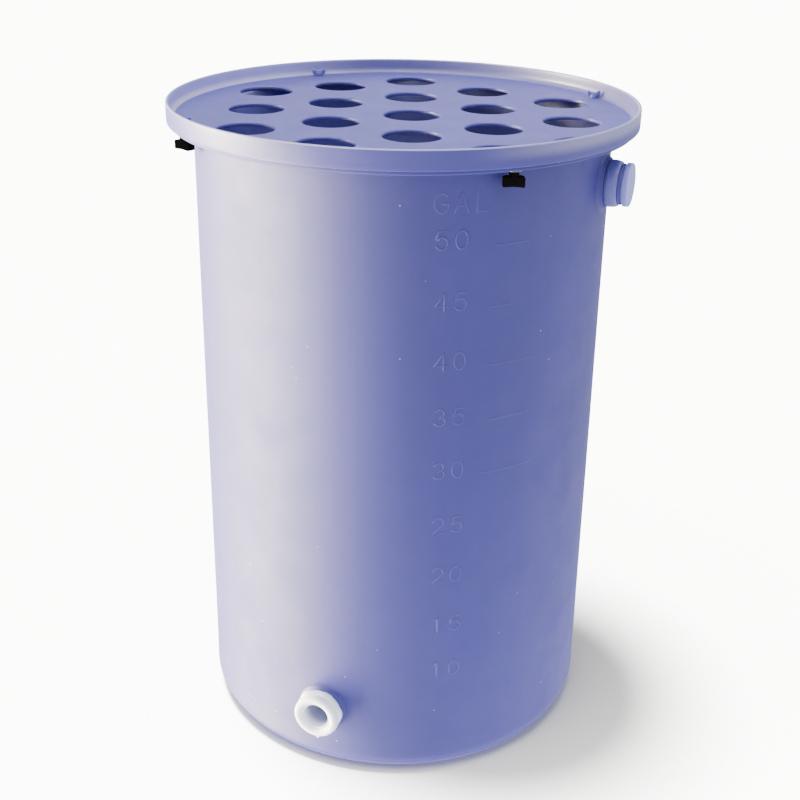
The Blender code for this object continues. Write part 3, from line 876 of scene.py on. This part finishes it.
def build_bolt(number, spot, turn):
    """Screw with a round hub on the lid and two wings that stand up from it."""
    seat = LID_FLOOR + GAP
    tip = low("lid_bolt_%d" % number)[2]
    shank, hub_radius, hub_top = 0.0040, 0.0054, seat + 0.0050
    profile = [(0.0, tip)] + rounded([(0.0, tip, 0), (shank, tip, 0.0008), (shank, seat, 0.0),
                                      (hub_radius, seat, 0.0), (hub_radius, hub_top, 0.0014),
                                      (0.0, hub_top, 0)], 4)[1:]
    hub = lathe(profile, 40)
    half = [(0.0060, 0.0007, 0.002), (0.0098, 0.0036, 0.003), (0.0100, 0.0096, 0.0026),
            (0.0058, 0.0096, 0.0020), (0.0034, 0.0070, 0.002)]
    outline = rounded(half + [(-x, z, r) for x, z, r in reversed(half)], 3)
    thickness, round_over = 0.0045, 0.0008
    wings = wing_plate([(x, seat + z) for x, z in outline], thickness, round_over)
    bm = combined(hub, wings, "UNION")
    placing = Matrix.Translation((spot.x, spot.y, 0.0)) @ Matrix.Rotation(turn, 4, "Z")
    finish_mesh("wing_bolt_%d" % number, bm, bolt_plastic, "lid", ("lid_bolt_%d" % number,),
                placing, 40.0)


def build_washer(number, spot):
    lowest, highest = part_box("washer_%d" % number)
    radius = (highest[0] - lowest[0]) / 2 - 0.0001
    corners = [(BOLT_HOLE, lowest[2], 0.0003), (radius, lowest[2], 0.0004), (radius, highest[2], 0.0005),
               (BOLT_HOLE, highest[2], 0.0003)]
    finish_mesh("steel_washer_%d" % number, lathe(rounded(corners, 3), 64), steel, "washer_%d" % number,
                ("washer_%d" % number,), Matrix.Translation((spot.x, spot.y, 0.0)), 50.0)


def build_wing_nut(number, spot, turn):
    """Moulded knob: a flat-sided block around the thread with a short neck above it."""
    lowest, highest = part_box("wing_nut_%d" % number)
    bottom, top = lowest[2], highest[2]
    bore_end = top - 0.0120
    neck, neck_foot, shoulder = 0.0060, bottom + 0.0022, top - 0.0062
    outline = [(0.0, neck_foot)] + rounded([(0.0, neck_foot, 0), (neck, neck_foot, 0.0), (neck, top, 0.0006),
                                            (BOLT_HOLE, top, 0.0004), (BOLT_HOLE, bore_end, 0.0),
                                            (0.0, bore_end, 0)], 4)[1:]
    stem = lathe(outline, 48)
    half, thickness, round_over = 0.0130, 0.0118, 0.0005
    right = [(half, bottom, 0.0013), (half, shoulder - 0.0012, 0.0013), (0.0085, shoulder, 0.004)]
    left = [(-x, z, r) for x, z, r in reversed(right)]
    block = wing_plate(rounded(right + left + [(0.0, bottom + 0.0009, 0.010)], 4), thickness, round_over)
    slit_half, slit_in, slit_out = 0.0004, 0.0054, 0.0070
    for side in (-1, 1):
        slit = [(-slit_half, side * slit_in), (slit_half, side * slit_in), (slit_half, side * slit_out),
                (-slit_half, side * slit_out)]
        block = combined(block, prism(slit[::side], bottom - 0.002, shoulder + 0.002), "DIFFERENCE")
    hole = prism(circle(BOLT_HOLE, 48), bore_end, top + 0.002)
    bm = combined(combined(block, hole, "DIFFERENCE"), stem, "UNION")
    placing = Matrix.Translation((spot.x, spot.y, 0.0)) @ Matrix.Rotation(turn, 4, "Z")
    finish_mesh("black_wing_nut_%d" % number, bm, black_plastic, "wing_nut_%d" % number,
                ("wing_nut_%d" % number,), placing, 40.0)


# ---------------------------------------------------------------- fittings
def threaded(profile_before, profile_after, radius, start, end, depth, segments, steps):
    """Closed turned mesh whose stretch from start to end carries a screw thread."""
    turns = [start + (end - start) * k / steps for k in range(steps + 1)]
    rows = list(profile_before) + [(radius, z) for z in turns] + profile_after
    thread_rows = {round(z, 7) for z in turns}
    span = abs(end - start)

    def shape(r, z, angle):
        if round(z, 7) in thread_rows and abs(r - radius) < 1e-6:
            phase = (z / THREAD_PITCH - angle / math.tau) % 1.0
            tooth = 1.0 - abs(2.0 * phase - 1.0)
            tooth = smoothstep(tooth, 0.25, 0.75)
            fade = min(1.0, min(abs(z - start), abs(z - end)) / (0.12 * span))
            return r + depth * tooth * fade, z
        return r, z

    return lathe(rows, segments, shape)


def hexagon(radius, rounding, turn=0.0):
    turns = [turn + math.tau * i / 6 for i in range(6)]
    return rounded([(radius * math.cos(a), radius * math.sin(a), rounding) for a in turns], 6)


def build_ring(name, placing, bore, radius, start, end, material, body, nodes, slot, edge=0.0006):
    corners = [(bore, start, 0.0002), (radius, start, edge), (radius, end, edge), (bore, end, 0.0002)]
    finish_mesh(name, lathe(rounded(corners, 4), 96), material, body, nodes, placing, 50.0)


def build_lock_nut(name, placing, bore, radius, start, end, material, node, slot):
    outline = hexagon(radius, 0.0035)
    bm = bevelled(prism(outline, start, end), 0.0010, 3, 50.0)
    bm = combined(bm, prism(circle(bore, 72), start - 0.004, end + 0.004), "DIFFERENCE")
    finish_mesh(name, bm, material, "tank", (node,), placing, 40.0)


def build_drain():
    """White bushing: a rounded hexagonal head and collar around a threaded bore, with its seal and nut."""
    placing = sideways(DRAIN_SIDE, DRAIN_Z)
    inner_end = -high("drain_fitting")[1]
    gasket = (-high("drain_gasket")[1], -low("drain_gasket")[1])
    nut = (-high("drain_lock_nut")[1], -low("drain_lock_nut")[1])
    build_pad("drain_pad", DRAIN_SIDE, DRAIN_Z, 0.0330, gasket[0] - GAP, DRAIN_HOLE, 0.0035)
    build_ring("drain_rubber_gasket", placing, DRAIN_HOLE, 0.0323, *gasket, rubber, "tank", ("drain_gasket",),
               "gasket_rubber")
    build_lock_nut("drain_nut", placing, DRAIN_HOLE, 0.0328, *nut, white_plastic, "drain_lock_nut",
                   "white_plastic")
    seat = gasket[1] + GAP
    bore, barrel, collar, face = 0.0175, 0.0224, 0.0324, DRAIN_FACE
    root, thread_out, thread_in = bore + 0.0012, 0.3085, 0.2740
    head = hexagon(0.0376, 0.0170, math.radians(8.0))
    hexagonal = bevelled(prism(head, seat, 0.3031), 0.0042, 5, 50.0)
    before = rounded([(root, inner_end, 0.0008), (barrel, inner_end, 0.0008), (barrel, seat + 0.001, 0.0),
                      (collar, seat + 0.001, 0.0), (collar, face, 0.0065), (bore + 0.0040, face, 0.0062)], 6)
    body = threaded(before, [(root, 0.2700)], bore, thread_out, thread_in, 0.0011, 96, 110)
    bm = combined(body, hexagonal, "UNION")
    bore_tool = prism(circle(root, 96), inner_end - 0.004, face - 0.0045)
    bm = combined(bm, bore_tool, "DIFFERENCE")

    # Faces deep in the drain's bore take the bore plastic with its painted shade.
    def deep_in_bore(centre, normal):
        return centre.y > -(face - 0.0040) and math.hypot(centre.x, centre.z - DRAIN_Z) < 0.0205

    finish_mesh("drain_fitting_body", bm, white_plastic, "tank", ("drain_fitting",), placing,
                38.0, regions=((drain_bore_plastic, deep_in_bore),))
    # Moulding nub under the collar.
    nub_outline = [(0.0, 0.0, 0), (0.0021, 0.0, 0.0), (0.0017, 0.0036, 0.0012), (0.0, 0.0040, 0)]
    nub = lathe(rounded(nub_outline, 5), 24)
    nub_spot = Matrix.Translation((0.0030, -0.0322, 0.3085))
    nub.transform(placing @ nub_spot @ Matrix.Rotation(math.pi / 2, 4, "X"))
    finish_mesh("drain_nub", nub, white_plastic, "tank", smooth=50.0)


def build_overflow():
    """Blue hub with a domed shoulder and a threaded bore, with its seal and nut."""
    placing = sideways(OVERFLOW_SIDE, OVERFLOW_Z)
    gasket = (low("overflow_gasket")[0], high("overflow_gasket")[0])
    nut = (low("overflow_lock_nut")[0], high("overflow_lock_nut")[0])
    inner_end, hub_face = low("overflow_fitting")[0], high("overflow_fitting")[0]
    build_pad("overflow_pad", OVERFLOW_SIDE, OVERFLOW_Z, 0.0345, gasket[0] - GAP, OVERFLOW_HOLE, 0.0060)
    build_ring("overflow_rubber_gasket", placing, OVERFLOW_HOLE, 0.0306, *gasket, rubber, "tank",
               ("overflow_gasket",), "gasket_rubber")
    build_lock_nut("overflow_nut", placing, OVERFLOW_HOLE, 0.0368, *nut, fitting_plastic, "overflow_lock_nut",
                   "blue_fitting_plastic")
    seat = gasket[1] + GAP
    hub, barrel, bore = 0.0307, 0.0284, 0.0246
    before = [(bore, inner_end), (barrel - 0.001, inner_end), (barrel, inner_end + 0.001), (barrel, seat),
              (hub, seat)]
    lip, dome = bore + 0.0026, 0.0105
    before += [(lip + (hub - bore - 0.0026) * math.cos(a), hub_face - dome + dome * math.sin(a))
               for a in [math.radians(10 * k) for k in range(10)]]
    before += [(bore + 0.0012, hub_face)]
    body = threaded(before, [], bore + 0.0002, hub_face - 0.0010, inner_end + 0.0010, 0.0008, 96, 120)
    finish_mesh("overflow_hub", body, fitting_plastic, "tank", ("overflow_fitting",),
                placing, 38.0)


def build_plug():
    """Plug with a flat disc and a hollow threaded spigot, and its seal ring."""
    placing = sideways(OVERFLOW_SIDE, OVERFLOW_Z)
    seal = (low("overflow_plug_seal")[0], high("overflow_plug_seal")[0])
    build_ring("plug_seal_ring", placing, 0.0245, 0.0267, *seal, rubber, "plug_seal", ("overflow_plug_seal",),
               "gasket_rubber", 0.0010)
    spigot_end = low("overflow_plug")[0]
    disc, back, face = 0.0284, seal[1] + GAP + 0.0024, PLUG_FACE
    spigot, hollow = 0.0242, 0.0190
    root = spigot - 0.0009
    before = [(0.0, back - 0.0040), (hollow - 0.001, back - 0.0040), (hollow, back - 0.0050),
              (hollow, spigot_end + 0.0004), (hollow + 0.0006, spigot_end), (spigot - 0.0012, spigot_end)]
    after = rounded([(root, back, 0.0), (disc, back, 0.0008), (disc, face, 0.0016), (0.0, face, 0)], 5)
    after = [p for p in after if p[0] > 1e-6] + [(0.0, face)]
    body = threaded(before, after, root, spigot_end + 0.0008, back - 0.0008, 0.0008, 96, 70)
    finish_mesh("overflow_screw_plug", body, plug_plastic, "plug", ("overflow_plug",),
                placing, 38.0)


build_tank()
build_scale()
build_lid()
for index, bolt_spot in enumerate(BOLTS):
    build_bolt(index + 1, bolt_spot, BOLT_TURNS[index])
    build_washer(index + 1, bolt_spot)
    build_wing_nut(index + 1, bolt_spot, NUT_TURNS[index])
build_drain()
build_overflow()
build_plug()


# ---------------------------------------------------------------- floor, light and camera
FLOOR_REACH = 40.0
FLOOR_THICKNESS = 0.02


def build_floor():
    """White floor that takes shadows but doesn't light or shade the part."""
    s = Shader("studio_floor")
    base = s.ramp(s.noise(0.7, 2.0), [(0.3, (0.54, 0.54, 0.50)), (0.7, (0.56, 0.56, 0.52))])
    s.link(base, s.bsdf.inputs["Base Color"])
    s.set(Roughness=0.9, Specular_IOR_Level=0.0)
    corners = [(FLOOR_REACH * x, FLOOR_REACH * y) for x, y in ((-1, -1), (1, -1), (1, 1), (-1, 1))]
    bm = prism(corners, -FLOOR_THICKNESS, 0.0)
    floor = finish_mesh("studio_floor", bm, s.material, None)
    floor.visible_diffuse = False
    floor.visible_glossy = False
    floor.visible_shadow = False
    return floor


CAMERA_AZIMUTH = math.radians(20.9)
CAMERA_DISTANCE = 1.7005
CAMERA_HEIGHT = 1.2273
CAMERA_PITCH = math.radians(24.2246)
CAMERA_YAW = 0.0009983
CAMERA_ROLL = 0.0161808
CAMERA_LENS = 55.946
CAMERA_SENSOR = 36.0


def build_camera():
    """Camera that looks at the part from CAMERA_AZIMUTH, with a small yaw and roll of its own."""
    forward = Vector((math.sin(CAMERA_YAW) * math.cos(CAMERA_PITCH),
                      math.cos(CAMERA_YAW) * math.cos(CAMERA_PITCH), -math.sin(CAMERA_PITCH)))
    right = Vector((math.cos(CAMERA_YAW), -math.sin(CAMERA_YAW), 0.0))
    up = right.cross(forward)
    rolled_right = right * math.cos(CAMERA_ROLL) + up * math.sin(CAMERA_ROLL)
    rolled_up = up * math.cos(CAMERA_ROLL) - right * math.sin(CAMERA_ROLL)
    axes = Matrix((rolled_right, rolled_up, -forward)).transposed().to_4x4()
    around = Matrix.Rotation(CAMERA_AZIMUTH, 4, "Z")
    data = bpy.data.cameras.new("camera")
    data.sensor_width = CAMERA_SENSOR
    data.lens = CAMERA_LENS
    data.clip_end = 200.0
    camera = bpy.data.objects.new("camera", data)
    camera.matrix_world = around @ Matrix.Translation((0.0, -CAMERA_DISTANCE, CAMERA_HEIGHT)) @ axes
    bpy.context.scene.collection.objects.link(camera)
    bpy.context.scene.camera = camera


WHITE = (1.0, 1.0, 1.0)
COOL_WHITE = (1.0, 1.0, 1.04)
# Suns: name, azimuth (0 is the camera's side, 90 its right), elevation, strength, angular size and colour.
# An elevation below 0 works because the floor casts no shadow.
WALL_SUNS = (("key", -94.0, 2.0, 13.6, 30.0, (1.0, 0.90, 0.59)),
             ("low_key", -83.0, -34.0, 8.0, 40.0, (1.0, 0.90, 0.55)),
             ("right_fill", 100.0, -38.0, 0.30, 50.0, WHITE))
OVERHEAD = ("overhead", 0.0, 90.0, 2.1, 60.0, WHITE)
FLOOR_SUNS = (("floor_light", -115.0, 79.5, 27.5, 14.0, COOL_WHITE),
              ("floor_side_light", -60.0, 70.0, 4.5, 50.0, COOL_WHITE))
WORLD_STRENGTH = 0.95
BOUNCE_POWER = 10.0
BOUNCE_SIZE = 1.8


def add_sun(name, azimuth, elevation, strength, angle, colour, receivers):
    """Sun that lights only the objects in the collection of receivers."""
    data = bpy.data.lights.new(name, "SUN")
    data.energy = strength
    data.angle = math.radians(angle)
    data.color = colour
    a, e = math.radians(azimuth) + CAMERA_AZIMUTH, math.radians(elevation)
    towards = Vector((math.sin(a) * math.cos(e), -math.cos(a) * math.cos(e), math.sin(e)))
    light = bpy.data.objects.new(name, data)
    light.rotation_mode = "QUATERNION"
    light.rotation_quaternion = towards.to_track_quat("Z", "Y")
    bpy.context.scene.collection.objects.link(light)
    light.light_linking.receiver_collection = receivers
    return light


def add_bounce(receivers):
    """Light that a bright floor throws back onto the lower part of the tank."""
    data = bpy.data.lights.new("bounce", "AREA")
    data.shape = "DISK"
    data.size = BOUNCE_SIZE
    data.energy = BOUNCE_POWER
    light = bpy.data.objects.new("bounce", data)
    light.matrix_world = Matrix.Translation((0.0, 0.0, 0.0015)) @ Matrix.Rotation(math.pi, 4, "X")
    light.visible_camera = False
    light.visible_glossy = False
    light.light_linking.receiver_collection = receivers
    bpy.context.scene.collection.objects.link(light)


def collection_of(name, objects):
    collection = bpy.data.collections.new(name)
    for obj in objects:
        collection.objects.link(obj)
    return collection


def build_light(floor):
    """White world, and suns that light either the floor or the part."""
    world = bpy.data.worlds.new("studio")
    world.use_nodes = True
    background = world.node_tree.nodes["Background"]
    background.inputs["Color"].default_value = (1.0, 1.0, 1.0, 1.0)
    background.inputs["Strength"].default_value = WORLD_STRENGTH
    bpy.context.scene.world = world
    scene = bpy.context.scene
    pieces = [obj for obj in scene.objects if obj.type == "MESH" and obj is not floor]
    floor_only = collection_of("floor_only", [floor])
    part_only = collection_of("part_only", pieces)
    # The wall's suns would bleach the black nuts, so they pass them by.
    not_black = collection_of("not_black", [p for p in pieces if not p.name.startswith("black_wing_nut")])
    for sun in WALL_SUNS:
        add_sun(*sun, not_black)
    add_sun(*OVERHEAD, part_only)
    add_bounce(part_only)
    casting = collection_of("casting_on_floor", [p for p in pieces if not p.name.startswith("drain_")])
    for sun in FLOOR_SUNS:
        add_sun(*sun, floor_only).light_linking.blocker_collection = casting
    scene.view_settings.view_transform = "AgX"
    scene.view_settings.look = "AgX - Medium High Contrast"


build_camera()
studio_floor = build_floor()
build_light(studio_floor)
